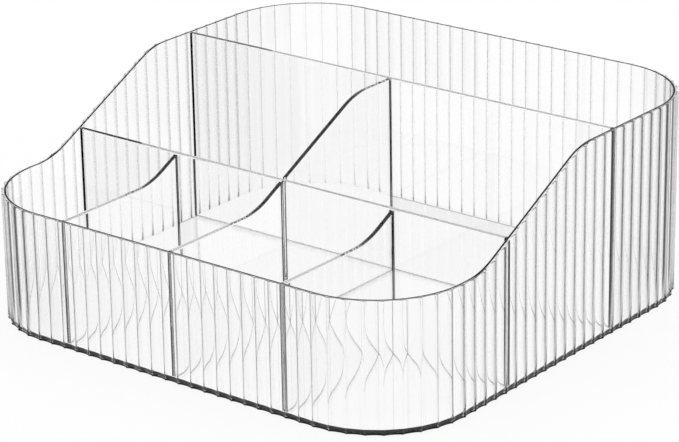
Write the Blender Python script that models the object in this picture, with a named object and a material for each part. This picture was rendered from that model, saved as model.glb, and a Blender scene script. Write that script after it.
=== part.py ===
"""Clear fluted holder for makeup brushes, in metres, +Z up.

One continuous fluted wall stands round a flat base. Two cross dividers part the inside into three
rows: one wide compartment at the back, two in the middle and four at the front.
The sides and the dividers that run from front to back share one stepped rim: low at the front,
a straight slope, and high at the back. The origin is the middle of the underside.
"""

import bpy
import bmesh
from math import atan, ceil, cos, pi, sin, sqrt, tan

# Driving dimensions
FLUTE_PITCH = 0.0075
FLUTE_DEPTH = 0.0009
THIN_WALL = 0.0018
DIVIDER_THICKNESS = 0.0022
FLOOR_THICKNESS = 0.0020
RIM_ROUND = 0.0006
JOINT_GAP = 0.0003

# Heights of the rim, and where its slope runs
FRONT_HEIGHT = 0.0607
BACK_HEIGHT = 0.0969
MIDDLE_DIVIDER_HEIGHT = 0.0705
SLOPE = 0.497
BEND_RADIUS = 0.039

# The plan, in flutes
FRONT_FLUTES = 21
SIDE_FLUTES = 20
CORNER_FLUTES = 9
INNER_CORNER_RADIUS = 5.8 * FLUTE_PITCH
HALF_FRONT = FRONT_FLUTES * FLUTE_PITCH / 2
HALF_SIDE = SIDE_FLUTES * FLUTE_PITCH / 2
INNER_HALF_WIDTH = HALF_FRONT + INNER_CORNER_RADIUS
INNER_HALF_DEPTH = HALF_SIDE + INNER_CORNER_RADIUS
FRONT_COMPARTMENT_WIDTH = 8.3 * FLUTE_PITCH
FRONT_ROW_DEPTH = 10.25 * FLUTE_PITCH
MIDDLE_ROW_DEPTH = 10.7 * FLUTE_PITCH

# Fineness of the solids
FLUTE_STEPS = 4
RIM_STEPS = 2
BULLNOSE_STEPS = 2
DIVIDER_STATION = 0.0040

MIDDLE_DIVIDER_Y = FRONT_ROW_DEPTH - INNER_HALF_DEPTH
BACK_DIVIDER_Y = MIDDLE_DIVIDER_Y + MIDDLE_ROW_DEPTH
CLEAR_PLASTIC = (0.93, 0.95, 0.945)
CLEAR_IOR = 1.49
WALL_ROUGHNESS = 0.06
FLOOR_ROUGHNESS = 0.08
DIVIDER_ROUGHNESS = 0.07


def clear_scene():
    for item in list(bpy.data.objects):
        bpy.data.objects.remove(item, do_unlink=True)


def plastic(name, roughness):
    """A clear, colourless moulded plastic."""
    material = bpy.data.materials.new(name)
    material.use_nodes = True
    shader = material.node_tree.nodes["Principled BSDF"]
    shader.inputs["Base Color"].default_value = (*CLEAR_PLASTIC, 1)
    shader.inputs["Roughness"].default_value = roughness
    shader.inputs["Metallic"].default_value = 0
    shader.inputs["IOR"].default_value = CLEAR_IOR
    shader.inputs["Transmission Weight"].default_value = 1
    material.diffuse_color = (*CLEAR_PLASTIC, 0.35)
    return material


def rim_height(y):
    """Height of the stepped rim at y: two straight levels joined by a slope with rounded bends."""
    lean = atan(SLOPE)
    tangent = BEND_RADIUS * tan(lean / 2)
    low = MIDDLE_DIVIDER_Y - (MIDDLE_DIVIDER_HEIGHT - FRONT_HEIGHT) / SLOPE
    high = MIDDLE_DIVIDER_Y + (BACK_HEIGHT - MIDDLE_DIVIDER_HEIGHT) / SLOPE
    along = tangent * cos(lean)
    if y <= low - tangent:
        return FRONT_HEIGHT
    if y < low + along:
        run = y - (low - tangent)
        return FRONT_HEIGHT + BEND_RADIUS - sqrt(BEND_RADIUS**2 - run**2)
    if y <= high - along:
        return FRONT_HEIGHT + SLOPE * (y - low)
    if y < high + tangent:
        run = high + tangent - y
        return BACK_HEIGHT - BEND_RADIUS + sqrt(BEND_RADIUS**2 - run**2)
    return BACK_HEIGHT


def round_stretch(centre, start, count, radius, depth):
    """Inner and outer points of the flutes round one corner."""
    points = []
    turn = pi / 2 / count
    for flute in range(count):
        for step in range(FLUTE_STEPS):
            share = step / FLUTE_STEPS
            angle = start + turn * (flute + share)
            rise = flute_rise(share)
            points.append(tuple(
                (centre[0] + reach * cos(angle), centre[1] + reach * sin(angle))
                for reach in (radius, radius + depth + rise)
            ))
    return points


def straight_stretch(corner, along, out, count, depth):
    """Inner and outer points of the flutes on one straight side, from corner along it."""
    points = []
    for flute in range(count):
        for step in range(FLUTE_STEPS):
            share = step / FLUTE_STEPS
            run = FLUTE_PITCH * (flute + share)
            base = [corner[i] + along[i] * run for i in (0, 1)]
            reach = depth + flute_rise(share)
            points.append((tuple(base), (base[0] + out[0] * reach, base[1] + out[1] * reach)))
    return points


def flute_rise(share):
    """How far the wall stands out from the bottom of a flute, share of the way across it: the flute is
    one hollow round arc between two ridges."""
    half = FLUTE_PITCH / 2
    radius = (half**2 + FLUTE_DEPTH**2) / (2 * FLUTE_DEPTH)
    across = (2 * share - 1) * half
    return radius - sqrt(radius**2 - across**2)


def wall_outline():
    """Inner and outer points round the whole wall, turning left from the front's left end."""
    points = []
    runs = (
        ((-HALF_FRONT, -INNER_HALF_DEPTH), (1, 0), (0, -1), FRONT_FLUTES, (HALF_FRONT, -HALF_SIDE), -pi / 2),
        ((INNER_HALF_WIDTH, -HALF_SIDE), (0, 1), (1, 0), SIDE_FLUTES, (HALF_FRONT, HALF_SIDE), 0),
        ((HALF_FRONT, INNER_HALF_DEPTH), (-1, 0), (0, 1), FRONT_FLUTES, (-HALF_FRONT, HALF_SIDE), pi / 2),
        ((-INNER_HALF_WIDTH, HALF_SIDE), (0, -1), (-1, 0), SIDE_FLUTES, (-HALF_FRONT, -HALF_SIDE), pi),
    )
    for corner, along, out, count, centre, start in runs:
        points += straight_stretch(corner, along, out, count, THIN_WALL)
        points += round_stretch(centre, start, CORNER_FLUTES, INNER_CORNER_RADIUS, THIN_WALL)
    return points


def crown(left, right, top, radius, steps):
    """Points over the top of a wall from its right face to its left, with both edges rounded.

    With a radius of None the whole top is one half round."""
    span = [right[i] - left[i] for i in (0, 1)]
    width = sqrt(span[0] ** 2 + span[1] ** 2)
    across = [part / width for part in span]
    reach = radius or width / 2
    turns = [pi / 2 * step / steps for step in range(steps + 1)]
    over = [(reach * (1 - cos(turn)), reach * (1 - sin(turn))) for turn in turns]
    back = over[::-1] if radius else over[-2::-1]
    over += [(width - inset, drop) for inset, drop in back]
    return [(right[0] - across[0] * inset, right[1] - across[1] * inset, top - drop) for inset, drop in over]


def wall_solid(name, stations, closed, bottom, radius, steps, material):
    """A thin standing wall through stations of (left point, right point, top height)."""
    mesh = bmesh.new()
    rings = []
    for left, right, top in stations:
        section = [(*left, bottom), (*right, bottom)] + crown(left, right, top, radius, steps)
        rings.append([mesh.verts.new(point) for point in section])
    size = len(rings[0])
    pairs = list(zip(rings, rings[1:]))
    if closed:
        pairs.append((rings[-1], rings[0]))
    else:
        mesh.faces.new(list(reversed(rings[0])))
        mesh.faces.new(rings[-1])
    for first, second in pairs:
        for corner in range(size):
            following = (corner + 1) % size
            mesh.faces.new((first[corner], first[following], second[following], second[corner]))
    return solid(name, mesh, material)


def solid(name, mesh, material):
    """Turns a bmesh into a named object that faces outwards."""
    bmesh.ops.recalc_face_normals(mesh, faces=mesh.faces)
    data = bpy.data.meshes.new(name)
    mesh.to_mesh(data)
    mesh.free()
    data.materials.append(material)
    data.shade_smooth()
    data.set_sharp_from_angle(angle=pi / 6)
    made = bpy.data.objects.new(name, data)
    bpy.context.scene.collection.objects.link(made)
    return made


def fluted_wall():
    stations = [(inner, outer, rim_height(inner[1])) for inner, outer in wall_outline()]
    return wall_solid(
        "fluted_wall", stations, True, 0, RIM_ROUND, RIM_STEPS, plastic("wall_plastic", WALL_ROUGHNESS)
    )


def base_plate():
    """The floor, fitted inside the foot of the wall."""
    mesh = bmesh.new()
    outline = []
    reach = INNER_CORNER_RADIUS - JOINT_GAP
    centres = ((HALF_FRONT, -HALF_SIDE), (HALF_FRONT, HALF_SIDE))
    centres += ((-HALF_FRONT, HALF_SIDE), (-HALF_FRONT, -HALF_SIDE))
    for quarter, centre in enumerate(centres):
        for step in range(2 * CORNER_FLUTES + 1):
            angle = pi / 2 * (quarter - 1 + step / (2 * CORNER_FLUTES))
            outline.append((centre[0] + reach * cos(angle), centre[1] + reach * sin(angle)))
    low, high = ([mesh.verts.new((*point, z)) for point in outline] for z in (0, FLOOR_THICKNESS))
    mesh.faces.new(list(reversed(low)))
    mesh.faces.new(high)
    for first in range(len(outline)):
        second = (first + 1) % len(outline)
        mesh.faces.new((low[first], low[second], high[second], high[first]))
    return solid("base_plate", mesh, plastic("floor_plastic", FLOOR_ROUGHNESS))


def divider(name, start, end):
    """A divider from start to end, in plan, with its top along the stepped rim and rounded over."""
    run = [end[i] - start[i] for i in (0, 1)]
    length = sqrt(run[0] ** 2 + run[1] ** 2)
    along = [part / length for part in run]
    side = (-along[1] * DIVIDER_THICKNESS / 2, along[0] * DIVIDER_THICKNESS / 2)
    count = ceil(length / DIVIDER_STATION) if run[1] else 1
    stations = []
    for step in range(count + 1):
        x, y = (start[i] + run[i] * step / count for i in (0, 1))
        left = (x + side[0], y + side[1])
        right = (x - side[0], y - side[1])
        stations.append((left, right, rim_height(y)))
    bottom = FLOOR_THICKNESS + JOINT_GAP
    return wall_solid(
        name, stations, False, bottom, None, BULLNOSE_STEPS, plastic(name + "_plastic", DIVIDER_ROUGHNESS)
    )


def dividers():
    face = DIVIDER_THICKNESS / 2 + JOINT_GAP
    reach = INNER_HALF_WIDTH - JOINT_GAP
    for name, y in (("middle_divider", MIDDLE_DIVIDER_Y), ("back_divider", BACK_DIVIDER_Y)):
        divider(name, (-reach, y), (reach, y))
    divider("rear_centre_divider", (0, MIDDLE_DIVIDER_Y + face), (0, BACK_DIVIDER_Y - face))
    for name, place in (("left", -1), ("centre", 0), ("right", 1)):
        x = place * FRONT_COMPARTMENT_WIDTH
        front = -INNER_HALF_DEPTH + JOINT_GAP
        divider("front_divider_" + name, (x, front), (x, MIDDLE_DIVIDER_Y - face))


clear_scene()
fluted_wall()
base_plate()
dividers()
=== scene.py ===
"""Looks of the clear fluted makeup brush holder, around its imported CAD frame. Metres, +Z up."""

from itertools import product
from math import atan, ceil, cos, exp, pi, radians, sin, sqrt, tan

import bmesh
import bpy
from mathutils import Matrix, Vector


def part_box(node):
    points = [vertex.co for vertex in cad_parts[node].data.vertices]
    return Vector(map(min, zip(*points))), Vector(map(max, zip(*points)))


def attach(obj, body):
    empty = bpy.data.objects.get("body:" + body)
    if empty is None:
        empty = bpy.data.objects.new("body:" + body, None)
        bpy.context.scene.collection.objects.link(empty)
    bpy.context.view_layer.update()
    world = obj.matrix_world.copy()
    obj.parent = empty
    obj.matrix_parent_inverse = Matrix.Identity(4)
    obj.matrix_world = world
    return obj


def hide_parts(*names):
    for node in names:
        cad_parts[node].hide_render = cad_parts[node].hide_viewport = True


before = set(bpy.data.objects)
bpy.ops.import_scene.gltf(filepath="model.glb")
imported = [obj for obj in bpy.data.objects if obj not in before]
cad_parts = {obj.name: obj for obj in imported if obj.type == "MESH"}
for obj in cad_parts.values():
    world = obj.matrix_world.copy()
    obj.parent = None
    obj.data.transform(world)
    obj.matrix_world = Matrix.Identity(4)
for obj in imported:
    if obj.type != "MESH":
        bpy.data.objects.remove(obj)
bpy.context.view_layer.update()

# Sizes that the two scripts share
FLUTE_PITCH = 0.0075
FLUTE_DEPTH = 0.0009
JOINT_GAP = 0.0003
FRONT_HEIGHT = 0.0607
SLOPE = 0.497
BEND_RADIUS = 0.039
FRONT_FLUTES = 21
SIDE_FLUTES = 20
CORNER_FLUTES = 9
FRONT_COMPARTMENT_WIDTH = 8.3 * FLUTE_PITCH
HALF_FRONT = FRONT_FLUTES * FLUTE_PITCH / 2
HALF_SIDE = SIDE_FLUTES * FLUTE_PITCH / 2

# Sizes read from the frame
wall_low, wall_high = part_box("fluted_wall")
base_low, base_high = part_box("base_plate")
middle_low, middle_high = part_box("middle_divider")
back_low, back_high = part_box("back_divider")
INNER_HALF_WIDTH = base_high.x + JOINT_GAP
INNER_HALF_DEPTH = base_high.y + JOINT_GAP
INNER_CORNER_RADIUS = INNER_HALF_WIDTH - HALF_FRONT
THIN_WALL = wall_high.x - INNER_HALF_WIDTH - FLUTE_DEPTH
FLOOR_THICKNESS = base_high.z
BACK_HEIGHT = wall_high.z
MIDDLE_HEIGHT = middle_high.z
DIVIDER_THICKNESS = middle_high.y - middle_low.y
MIDDLE_DIVIDER_Y = (middle_low.y + middle_high.y) / 2
BACK_DIVIDER_Y = (back_low.y + back_high.y) / 2

# A flute is a hollow arc between two ridges. Its points stand closer together towards the ridges.
RIDGE_HEIGHT = 0.0003
RIDGE_SPREAD = 0.0003
ARC_DEPTH = FLUTE_DEPTH - RIDGE_HEIGHT
FLUTE_SHARES = (0, 0.008, 0.017, 0.028, 0.042, 0.06, 0.085, 0.12, 0.17, 0.23, 0.3, 0.4, 0.5)
FLUTE_SHARES += tuple(1 - share for share in FLUTE_SHARES[-2:0:-1])

# Rounded edges. HOLD is how far from one the tall face beside it gets a point that keeps it straight.
EDGE_ROUND = 0.0002
EDGE_STEPS = 2
HOLD = 0.0005
FOOT_REACH = 0.0004
FOOT_RISE = 0.0010
FOOT_STEPS = 3

# Dark strips: painted shade along the rim from its inner edge and along the middle of a divider's top;
# dark seams across a divider's end from its right and left side, along its end at the side walls and at
# the front, and up its foot
RIM_SHADE_LINE = 0.0011
TOP_SHADE_LINE = 0.0003
SEAM_RIGHT = 0.0003
SEAM_LEFT = 0.0008
SEAM_SIDE = 0.0004
SEAM_FRONT = 0.0001
SEAM_FOOT = 0.00014

# Fineness of the rest
DIVIDER_STATION = 0.0010
BASE_STEPS = 6 * CORNER_FLUTES
SHARP_ANGLE = 32

# Camera
AIM = (0.0091, -0.0130, 0.0439)
AZIMUTH = 38.51
ELEVATION = 20.85
ROLL = -0.97
DISTANCE = 1.374
IMAGE_WIDTH = 679
FOCAL_PIXELS = 3023.6
SENSOR = 36.0
CAMERA_REACH = 100

# Plastic
CLEAR_IOR = 1.49
ABSORPTION = 1
ABSORBED_TINT = 0.5
TINT_LOW = 0.994
TINT_HIGH = 0.999
TINT_SCALE = 14
POLISH_SCALE = 180
MOST_ROUGHNESS = 0.04
RIPPLE_SCALE = 60
RIPPLE_HEIGHT = 0.00002

# Dark edges: painted shade on the wall's foot, the rims and the divider tops, and dark seams between pieces
DARK_LOW = 0.004
DARK_HIGH = 0.03
DARK_SCALE = 90
DARK_ROUGHNESS = 0.5
DARK_SPECULAR = 0.1

# Light: what a ray meets that the plastic has turned back inside itself, up to MOST_TURNS times and
# through up to MOST_PASSES surfaces. The table is half bright under the holder and fades to dark
# round it, and the room is dark to the sides and bright overhead.
MOST_TURNS = 4
MOST_PASSES = 4
TABLE_UNDER_HOLDER = 0.5
TABLE_FAR_AWAY = 0.02
TABLE_FADE = 0.025
ROOM_DARK = 0.05
ROOM_FADE = (0.15, 0.7)
FLOOR_COLOUR = 0.9
FLOOR_HALF_SIZE = 6
FLOOR_GAP = 0.0002
WORLD_LIGHT = 0.8
SHADOW_SHARE = 0.2


def grey(level):
    return (level, level, level, 1)


def noise(tree, scale, detail):
    """Noise from 0 to 1 that is fixed to the piece."""
    place = tree.nodes.new("ShaderNodeTexCoord")
    node = tree.nodes.new("ShaderNodeTexNoise")
    node.inputs["Scale"].default_value = scale
    node.inputs["Detail"].default_value = detail
    tree.links.new(place.outputs["Object"], node.inputs["Vector"])
    return node.outputs["Fac"]


def between_greys(tree, value, begin, finish, low, high):
    """A grey from low to high as value goes from begin to finish."""
    ramp = tree.nodes.new("ShaderNodeValToRGB")
    for element, position, level in zip(ramp.color_ramp.elements, (begin, finish), (low, high)):
        element.position = position
        element.color = grey(level)
    tree.links.new(value, ramp.inputs["Fac"])
    return ramp.outputs["Color"]


def clear_plastic():
    """Clear moulded plastic: a faint uneven tint, a polish that varies a little and a soft moulded ripple."""
    material = bpy.data.materials.new("clear_plastic")
    material.use_nodes = True
    tree = material.node_tree
    shader = tree.nodes["Principled BSDF"]
    shader.inputs["Transmission Weight"].default_value = 1.0
    shader.inputs["IOR"].default_value = CLEAR_IOR
    shader.inputs["Specular IOR Level"].default_value = 0.5

    tint = between_greys(tree, noise(tree, TINT_SCALE, 2), 0.3, 0.7, TINT_LOW, TINT_HIGH)
    tree.links.new(tint, shader.inputs["Base Color"])

    polish = tree.nodes.new("ShaderNodeMapRange")
    polish.inputs["To Min"].default_value = 0.0
    polish.inputs["To Max"].default_value = MOST_ROUGHNESS
    tree.links.new(noise(tree, POLISH_SCALE, 4), polish.inputs["Value"])
    tree.links.new(polish.outputs["Result"], shader.inputs["Roughness"])

    ripple = tree.nodes.new("ShaderNodeBump")
    ripple.inputs["Strength"].default_value = 1.0
    ripple.inputs["Distance"].default_value = RIPPLE_HEIGHT
    tree.links.new(noise(tree, RIPPLE_SCALE, 1), ripple.inputs["Height"])
    tree.links.new(ripple.outputs["Normal"], shader.inputs["Normal"])

    absorption = tree.nodes.new("ShaderNodeVolumeAbsorption")
    absorption.inputs["Color"].default_value = grey(ABSORBED_TINT)
    absorption.inputs["Density"].default_value = ABSORPTION
    tree.links.new(absorption.outputs["Volume"], tree.nodes["Material Output"].inputs["Volume"])
    return material


def painted_shade_and_seams():
    """The seams between pieces, which are dark joints, and painted shade: a painted contact shadow along the
    wall's foot and painted dark lines along the rims and divider tops, which stand in for light lost inside
    the plastic.
    """
    material = bpy.data.materials.new("painted_shade_and_seams")
    material.use_nodes = True
    tree = material.node_tree
    shader = tree.nodes["Principled BSDF"]
    shader.inputs["Roughness"].default_value = DARK_ROUGHNESS
    shader.inputs["Specular IOR Level"].default_value = DARK_SPECULAR
    shade = between_greys(tree, noise(tree, DARK_SCALE, 2), 0.35, 0.75, DARK_LOW, DARK_HIGH)
    tree.links.new(shade, shader.inputs["Base Color"])
    return material


def rim_height(y):
    """Height of the stepped rim at y: two straight levels joined by a slope with rounded bends."""
    lean = atan(SLOPE)
    tangent = BEND_RADIUS * tan(lean / 2)
    low = MIDDLE_DIVIDER_Y - (MIDDLE_HEIGHT - FRONT_HEIGHT) / SLOPE
    high = MIDDLE_DIVIDER_Y + (BACK_HEIGHT - MIDDLE_HEIGHT) / SLOPE
    along = tangent * cos(lean)
    if y <= low - tangent:
        return FRONT_HEIGHT
    if y < low + along:
        run = y - (low - tangent)
        return FRONT_HEIGHT + BEND_RADIUS - sqrt(BEND_RADIUS**2 - run**2)
    if y <= high - along:
        return FRONT_HEIGHT + SLOPE * (y - low)
    if y < high + tangent:
        run = high + tangent - y
        return BACK_HEIGHT - BEND_RADIUS + sqrt(BEND_RADIUS**2 - run**2)
    return BACK_HEIGHT


def flute_rise(share):
    """How far the wall stands out from the bottom of a flute, share of the way across it: one hollow
    round arc that turns out sharply into a narrow ridge at both ends."""
    half = FLUTE_PITCH / 2
    radius = (half**2 + ARC_DEPTH**2) / (2 * ARC_DEPTH)
    across = (2 * share - 1) * half
    ridge = exp(-(half - abs(across)) / RIDGE_SPREAD)
    return radius - sqrt(radius**2 - across**2) + RIDGE_HEIGHT * ridge


def wall_outline():
    """Inner and outer points round the whole wall, turning left from the front's left end."""
    points = []
    runs = (
        ((-HALF_FRONT, -INNER_HALF_DEPTH), (1, 0), (0, -1), FRONT_FLUTES, (HALF_FRONT, -HALF_SIDE), -pi / 2),
        ((INNER_HALF_WIDTH, -HALF_SIDE), (0, 1), (1, 0), SIDE_FLUTES, (HALF_FRONT, HALF_SIDE), 0),
        ((HALF_FRONT, INNER_HALF_DEPTH), (-1, 0), (0, 1), FRONT_FLUTES, (-HALF_FRONT, HALF_SIDE), pi / 2),
        ((-INNER_HALF_WIDTH, HALF_SIDE), (0, -1), (-1, 0), SIDE_FLUTES, (-HALF_FRONT, -HALF_SIDE), pi),
    )
    for corner, along, out, count, centre, start in runs:
        for flute, share in product(range(count), FLUTE_SHARES):
            base = Vector(corner) + Vector(along) * FLUTE_PITCH * (flute + share)
            points.append((base, base + Vector(out) * (THIN_WALL + flute_rise(share))))
        for flute, share in product(range(CORNER_FLUTES), FLUTE_SHARES):
            angle = start + pi / 2 * (flute + share) / CORNER_FLUTES
            ray = Vector((cos(angle), sin(angle)))
            reach = INNER_CORNER_RADIUS + THIN_WALL + flute_rise(share)
            points.append((Vector(centre) + ray * INNER_CORNER_RADIUS, Vector(centre) + ray * reach))
    return points


def arc(reach, height, steps):
    """Inset and drop of the points over one rounded edge, from its side to its top."""
    turns = [pi / 2 * step / steps for step in range(steps + 1)]
    return [(reach * (1 - cos(turn)), height * (1 - sin(turn))) for turn in turns]


def rounded_edge():
    """A small rounded edge, after a point that keeps the tall face beside it straight."""
    return [(0, EDGE_ROUND + HOLD)] + arc(EDGE_ROUND, EDGE_ROUND, EDGE_STEPS)


def over_top(width, flat):
    """Inset and drop of the points over a wall's top, with a rounded edge each side of its flat."""
    edge = rounded_edge()
    over = edge + [(inset, 0) for inset in flat]
    return over + [(width - inset, drop) for inset, drop in edge[::-1]]


def wall_section(left, right, top):
    """Points round the fluted wall's cross-section, and the numbers of its dark faces: the rounded
    foot, which carries a painted contact shadow, and a line of painted shade along the inner edge of the flat
    rim."""
    width = (right - left).length
    across = (right - left) / width
    foot = arc(FOOT_REACH, FOOT_RISE, FOOT_STEPS)[::-1] + [(0, FOOT_RISE + HOLD)]
    over = over_top(width, [width - RIM_SHADE_LINE])
    points = foot + [(inset, top - drop) for inset, drop in over] + [(width, 0)]
    # The foot's round carries a painted contact shadow, and the face along the rim's inner edge a line of
    # painted shade
    dark = (*range(FOOT_STEPS), len(foot) + len(rounded_edge()))
    return [(*(right - across * inset), z) for inset, z in points], dark


def divider_section(left, right, top):
    """Points round a divider's cross-section, and the numbers of its dark faces: a line of painted shade
    along the middle of the flat top, and a dark seam along both sides of the foot."""
    across = (right - left).normalized()
    bottom = FLOOR_THICKNESS + JOINT_GAP
    seam = bottom + SEAM_FOOT
    first, last = SEAM_RIGHT, DIVIDER_THICKNESS - SEAM_LEFT
    line = ((DIVIDER_THICKNESS - TOP_SHADE_LINE) / 2, (DIVIDER_THICKNESS + TOP_SHADE_LINE) / 2)
    over = over_top(DIVIDER_THICKNESS, (first, *line, last))
    points = [(0, bottom), (0, seam)] + [(inset, top - drop) for inset, drop in over]
    points += [(DIVIDER_THICKNESS, seam), (DIVIDER_THICKNESS, bottom), (last, bottom), (first, bottom)]
    # The two foot faces are dark seams; the face in the middle of the top is a line of painted shade
    dark = (0, top_strip() + 1, len(points) - 4)
    return [(*(right - across * inset), z) for inset, z in points], dark


def top_strip():
    """Number of the first of the four points on a divider's flat top, after its foot and one edge."""
    return 2 + len(rounded_edge())


def close_end(mesh, ring, dark_middle):
    """Closes one end of a divider: a dark seam strip at each side, and a middle that is clear or dark."""
    first = top_strip()
    last = first + 3
    for corners, dark in (
        (ring[-1:] + ring[:first + 1], True),
        (ring[first:last + 1] + ring[-2:], dark_middle),
        (ring[last:-1], True),
    ):
        mesh.faces.new(corners).material_index = int(dark)


def wall_mesh(name, stations, section, materials, ends=None):
    """A thin standing wall through stations of (left point, right point, top height). It closes on
    itself, or has dark seams at its ends, whose middles are dark where ends is True."""
    mesh = bmesh.new()
    rings = []
    for station in stations:
        points, dark = section(*station)
        rings.append([mesh.verts.new(point) for point in points])
    size = len(rings[0])
    pairs = list(zip(rings, rings[1:]))
    seams = []
    if ends is None:
        pairs.append((rings[-1], rings[0]))
    else:
        seams = [pairs[0], pairs[-1]]
        for ring in (rings[0], rings[-1]):
            close_end(mesh, ring, ends)
    for pair in pairs:
        first, second = pair
        for corner in range(size):
            following = (corner + 1) % size
            face = mesh.faces.new((first[corner], first[following], second[following], second[corner]))
            face.material_index = int(corner in dark or pair in seams)
    return piece(name, mesh, materials)


def piece(name, mesh, materials):
    """Turns a bmesh into a shown piece with its materials."""
    bmesh.ops.recalc_face_normals(mesh, faces=mesh.faces)
    data = bpy.data.meshes.new(name)
    mesh.to_mesh(data)
    mesh.free()
    for material in materials:
        data.materials.append(material)
    data.shade_smooth()
    data.set_sharp_from_angle(angle=radians(SHARP_ANGLE))
    made = bpy.data.objects.new(name, data)
    bpy.context.scene.collection.objects.link(made)
    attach(made, "root")
    return made


def make_wall(materials):
    stations = [(inner, outer, rim_height(inner.y)) for inner, outer in wall_outline()]
    wall = wall_mesh("clear_fluted_wall", stations, wall_section, materials)
    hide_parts("fluted_wall")


def make_base(material):
    """The floor of the holder: a flat plate with round corners."""
    mesh = bmesh.new()
    outline = []
    reach = INNER_CORNER_RADIUS - JOINT_GAP
    centres = ((HALF_FRONT, -HALF_SIDE), (HALF_FRONT, HALF_SIDE))
    centres += ((-HALF_FRONT, HALF_SIDE), (-HALF_FRONT, -HALF_SIDE))
    for quarter, centre in enumerate(centres):
        for step in range(BASE_STEPS + 1):
            angle = pi / 2 * (quarter - 1 + step / BASE_STEPS)
            outline.append((centre[0] + reach * cos(angle), centre[1] + reach * sin(angle)))
    low, high = ([mesh.verts.new((*point, z)) for point in outline] for z in (0, FLOOR_THICKNESS))
    mesh.faces.new(low[::-1])
    mesh.faces.new(high)
    for first in range(len(outline)):
        second = (first + 1) % len(outline)
        mesh.faces.new((low[first], low[second], high[second], high[first]))
    base = piece("clear_base", mesh, [material])
    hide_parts("base_plate")


def make_divider(node, start, end, materials):
    """A divider from start to end, in plan. One that runs from front to back follows the stepped rim."""
    start, end = Vector(start), Vector(end)
    along = (end - start).normalized()
    side = Vector((-along.y, along.x)) * DIVIDER_THICKNESS / 2
    length = (end - start).length
    count = ceil(length / DIVIDER_STATION) if along.y else 1
    near = SEAM_FRONT if along.y else SEAM_SIDE
    runs = [near + (length - near - SEAM_SIDE) * step / count for step in range(count + 1)]
    stations = []
    for run in (0, *runs, length):
        place = start + along * run
        stations.append((place + side, place - side, rim_height(place.y)))
    made = wall_mesh("clear_" + node, stations, divider_section, materials, ends=not along.y)
    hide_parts(node)


def make_dividers(materials):
    face = DIVIDER_THICKNESS / 2 + JOINT_GAP
    reach = INNER_HALF_WIDTH - JOINT_GAP
    for node, y in (("middle_divider", MIDDLE_DIVIDER_Y), ("back_divider", BACK_DIVIDER_Y)):
        make_divider(node, (-reach, y), (reach, y), materials)
    make_divider("rear_centre_divider", (0, MIDDLE_DIVIDER_Y + face), (0, BACK_DIVIDER_Y - face), materials)
    for node, place in (("left", -1), ("centre", 0), ("right", 1)):
        x = place * FRONT_COMPARTMENT_WIDTH
        front = (x, -INNER_HALF_DEPTH + JOINT_GAP)
        make_divider("front_divider_" + node, front, (x, MIDDLE_DIVIDER_Y - face), materials)


def make_camera():
    data = bpy.data.cameras.new("camera")
    data.sensor_width = SENSOR
    data.lens = SENSOR * FOCAL_PIXELS / IMAGE_WIDTH
    data.clip_end = CAMERA_REACH
    camera = bpy.data.objects.new("camera", data)
    turn, lift = radians(AZIMUTH), radians(ELEVATION)
    back = Vector((sin(turn) * cos(lift), -cos(turn) * cos(lift), sin(lift)))
    camera.rotation_mode = "QUATERNION"
    camera.location = Vector(AIM) + back * DISTANCE
    level = (-back).to_track_quat("-Z", "Y")
    camera.rotation_quaternion = level @ Matrix.Rotation(radians(ROLL), 3, "Z").to_quaternion()
    bpy.context.scene.collection.objects.link(camera)
    bpy.context.scene.camera = camera


def maths(tree, operation, first, second):
    """One Math node. first and second are numbers or sockets."""
    node = tree.nodes.new("ShaderNodeMath")
    node.operation = operation
    for place, value in enumerate((first, second)):
        if isinstance(value, (int, float)):
            node.inputs[place].default_value = value
        else:
            tree.links.new(value, node.inputs[place])
    return node.outputs["Value"]


def vector_maths(tree, operation, first, second=None):
    """One Vector Math node. first is a socket, and second is a vector."""
    node = tree.nodes.new("ShaderNodeVectorMath")
    node.operation = operation
    tree.links.new(first, node.inputs[0])
    if second is not None:
        node.inputs[1].default_value = second
    return node.outputs["Value" if operation == "LENGTH" else "Vector"]


def fade(tree, value, begin, finish, first, last):
    """A smooth change from first to last as value goes from begin to finish."""
    node = tree.nodes.new("ShaderNodeMapRange")
    node.interpolation_type = "SMOOTHSTEP"
    for socket, number in zip(("From Min", "From Max", "To Min", "To Max"), (begin, finish, first, last)):
        node.inputs[socket].default_value = number
    tree.links.new(value, node.inputs["Value"])
    return node.outputs["Result"]


def seen_directly(tree):
    """1 for rays from the camera and for those that clear or glossy surfaces send on, 0 for the
    light's own."""
    path = tree.nodes.new("ShaderNodeLightPath")
    total = path.outputs["Is Camera Ray"]
    for kind in ("Is Glossy Ray", "Is Transmission Ray"):
        total = maths(tree, "MAXIMUM", total, path.outputs[kind])
    return total


def turned_back(tree):
    """1 for a ray that leaves the first or second wall of clear plastic that it meets, turned back
    inside it once or a few times, else 0."""
    path = tree.nodes.new("ShaderNodeLightPath")
    once = maths(tree, "GREATER_THAN", path.outputs["Glossy Depth"], 0.5)
    few = maths(tree, "LESS_THAN", path.outputs["Glossy Depth"], MOST_TURNS + 0.5)
    two_walls = maths(tree, "LESS_THAN", path.outputs["Transmission Depth"], MOST_PASSES + 0.5)
    turned = maths(tree, "MULTIPLY", maths(tree, "MULTIPLY", once, few), two_walls)
    return maths(tree, "MULTIPLY", turned, path.outputs["Is Transmission Ray"])


def white_or(tree, level):
    """White, and level for the light that the plastic has turned back."""
    lost = maths(tree, "MULTIPLY", turned_back(tree), maths(tree, "SUBTRACT", 1.0, level))
    return maths(tree, "SUBTRACT", 1.0, lost)


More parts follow.
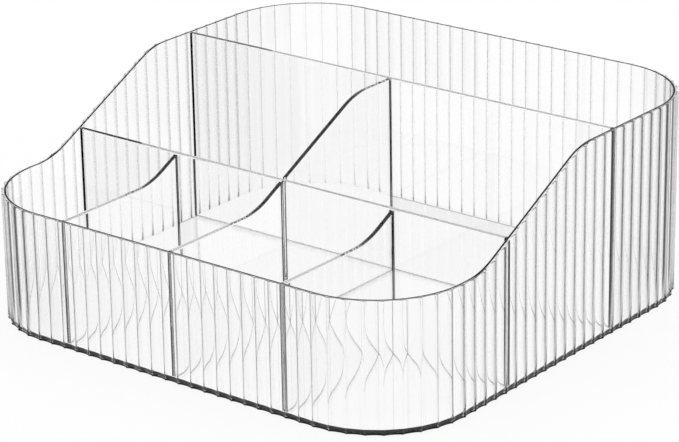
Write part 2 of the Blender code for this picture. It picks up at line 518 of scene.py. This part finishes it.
def make_world():
    """A white room that also lights the scene, dark to the sides for turned-back light."""
    world = bpy.data.worlds.new("studio")
    bpy.context.scene.world = world
    world.use_nodes = True
    tree = world.node_tree
    background = tree.nodes["Background"]
    background.inputs["Color"].default_value = grey(WORLD_LIGHT)
    white = tree.nodes.new("ShaderNodeBackground")
    heading = tree.nodes.new("ShaderNodeSeparateXYZ")
    tree.links.new(tree.nodes.new("ShaderNodeTexCoord").outputs["Generated"], heading.inputs["Vector"])
    room = fade(tree, heading.outputs["Z"], *ROOM_FADE, ROOM_DARK, 1)
    white.inputs["Color"].default_value = grey(1)
    tree.links.new(white_or(tree, room), white.inputs["Strength"])
    mix = tree.nodes.new("ShaderNodeMixShader")
    tree.links.new(seen_directly(tree), mix.inputs["Fac"])
    tree.links.new(background.outputs["Background"], mix.inputs[1])
    tree.links.new(white.outputs["Background"], mix.inputs[2])
    tree.links.new(mix.outputs["Shader"], tree.nodes["World Output"].inputs["Surface"])


def beyond_wall(tree):
    """How far a point of the table is outside the wall's round-cornered outline. It is less than 0
    under the holder."""
    reach = wall_high.x - HALF_FRONT
    place = vector_maths(tree, "ABSOLUTE", tree.nodes.new("ShaderNodeTexCoord").outputs["Object"])
    past = vector_maths(tree, "SUBTRACT", place, (wall_high.x - reach, wall_high.y - reach, 0))
    corner = vector_maths(tree, "LENGTH", vector_maths(tree, "MAXIMUM", past, (0, 0, 0)))
    parts = tree.nodes.new("ShaderNodeSeparateXYZ")
    tree.links.new(past, parts.inputs["Vector"])
    inner = maths(tree, "MINIMUM", maths(tree, "MAXIMUM", parts.outputs["X"], parts.outputs["Y"]), 0)
    return maths(tree, "SUBTRACT", maths(tree, "ADD", corner, inner), reach)


def table_level(tree):
    """How bright the table is for light that the plastic has turned back: less so away from the holder."""
    return fade(tree, beyond_wall(tree), 0, TABLE_FADE, TABLE_UNDER_HOLDER, TABLE_FAR_AWAY)


def make_floor():
    """The table: white as it is seen, apart from a share of its own shadowed look."""
    mesh = bmesh.new()
    bmesh.ops.create_grid(mesh, x_segments=1, y_segments=1, size=FLOOR_HALF_SIZE)
    data = bpy.data.meshes.new("floor")
    mesh.to_mesh(data)
    mesh.free()
    floor = bpy.data.objects.new("floor", data)
    floor.location.z = -FLOOR_GAP
    bpy.context.scene.collection.objects.link(floor)
    material = bpy.data.materials.new("floor")
    material.use_nodes = True
    tree = material.node_tree
    shader = tree.nodes["Principled BSDF"]
    shader.inputs["Base Color"].default_value = grey(FLOOR_COLOUR)
    shader.inputs["Roughness"].default_value = 1.0
    shader.inputs["Specular IOR Level"].default_value = 0.0
    path = tree.nodes.new("ShaderNodeLightPath")
    glow = tree.nodes.new("ShaderNodeEmission")
    lit = FLOOR_COLOUR * WORLD_LIGHT
    shadow = maths(tree, "MULTIPLY", path.outputs["Is Camera Ray"], SHADOW_SHARE)
    white = maths(tree, "ADD", 1.0, maths(tree, "MULTIPLY", shadow, (1 - lit) / (1 - SHADOW_SHARE)))
    tree.links.new(maths(tree, "MULTIPLY", white, white_or(tree, table_level(tree))), glow.inputs["Strength"])
    mix = tree.nodes.new("ShaderNodeMixShader")
    tree.links.new(maths(tree, "SUBTRACT", seen_directly(tree), shadow), mix.inputs["Fac"])
    tree.links.new(shader.outputs["BSDF"], mix.inputs[1])
    tree.links.new(glow.outputs["Emission"], mix.inputs[2])
    tree.links.new(mix.outputs["Shader"], tree.nodes["Material Output"].inputs["Surface"])
    data.materials.append(material)


def make_render_limits():
    """Enough bounces for light that passes through many clear walls."""
    cycles = bpy.context.scene.cycles
    cycles.max_bounces = 64
    cycles.transmission_bounces = 64
    cycles.glossy_bounces = 32
    cycles.diffuse_bounces = 2
    bpy.context.scene.view_settings.view_transform = "Standard"


make_camera()
make_world()
make_floor()
make_render_limits()
plastic = clear_plastic()
# The second material is the painted shade of the foot, rims and divider tops, and the dark seams
materials = (plastic, painted_shade_and_seams())
make_wall(materials)
make_base(plastic)
make_dividers(materials)
